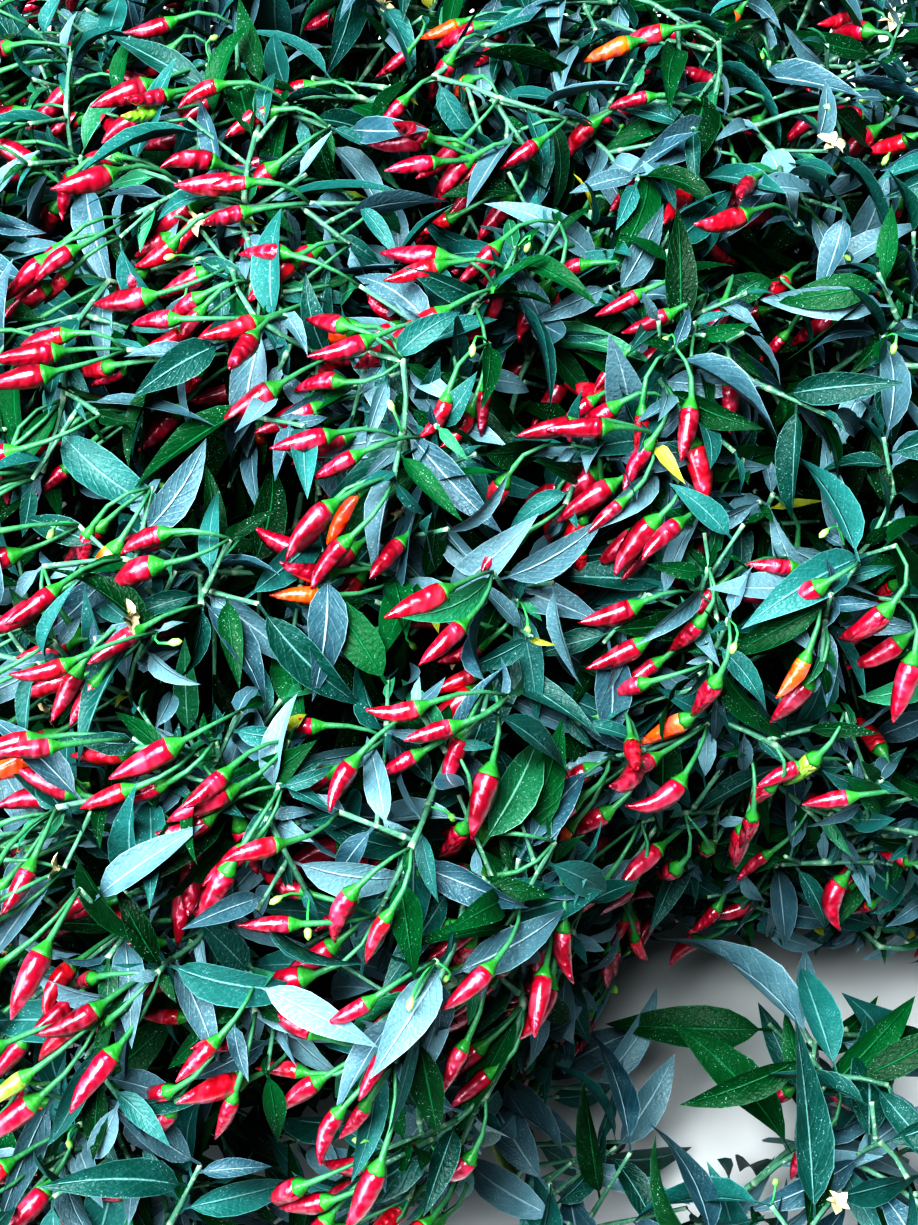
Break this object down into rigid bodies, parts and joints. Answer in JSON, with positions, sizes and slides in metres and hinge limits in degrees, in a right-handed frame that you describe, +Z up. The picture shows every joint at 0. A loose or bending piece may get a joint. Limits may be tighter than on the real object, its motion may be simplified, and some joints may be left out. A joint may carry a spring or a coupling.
{
  "type": "chilli pepper plant",
  "caption": "Bushy chilli pepper plant with a short trunk, spreading boughs, dense leafy twigs and many small hanging peppers, rooted in level ground.",
  "frame": {"origin": "middle of the trunk's flat cut at ground level", "axes": "+Z up out of the ground, -Y towards the front of the plant"},
  "size_m": [0.7573, 0.8046, 0.4422],
  "materials": {
    "bark": "rough, grey-green and lightly ridged",
    "green_stem": "satin green stem",
    "foliage": "satin leaf",
    "fruit": "glossy wrinkled skin",
    "blossom": "matt petal"
  },
  "bodies": {
    "root": {"bough_leader": "green_stem", "bough_low_shoot": "green_stem", "bough_main_1": "green_stem", "bough_main_2": "green_stem", "bough_main_3": "green_stem", "bough_main_4": "green_stem", "bough_main_5": "green_stem", "bough_main_6": "green_stem", "bough_shoulder_1": "green_stem", "bough_shoulder_2": "green_stem", "bough_shoulder_3": "green_stem", "bough_shoulder_4": "green_stem", "bough_shoulder_5": "green_stem", "bough_skirt_1": "green_stem", "bough_skirt_2": "green_stem", "bough_skirt_3": "green_stem", "bough_skirt_4": "green_stem", "bough_skirt_5": "green_stem", "bough_skirt_6": "green_stem", "bough_skirt_7": "green_stem", "bough_skirt_8": "green_stem", "bough_top_1": "green_stem", "bough_top_2": "green_stem", "bough_top_3": "green_stem", "foliage_low_shoot": "foliage", "foliage_shoulder_1": "foliage", "foliage_shoulder_2": "foliage", "foliage_shoulder_3": "foliage", "foliage_shoulder_4": "foliage", "foliage_shoulder_5": "foliage", "foliage_skirt_1": "foliage", "foliage_skirt_2": "foliage", "foliage_skirt_3": "foliage", "foliage_skirt_4": "foliage", "foliage_skirt_5": "foliage", "foliage_skirt_6": "foliage", "foliage_skirt_7": "foliage", "foliage_skirt_8": "foliage", "foliage_top_1": "foliage", "foliage_top_2": "foliage", "foliage_top_3": "foliage", "trunk": "bark"}
  },
  "joints": []
}
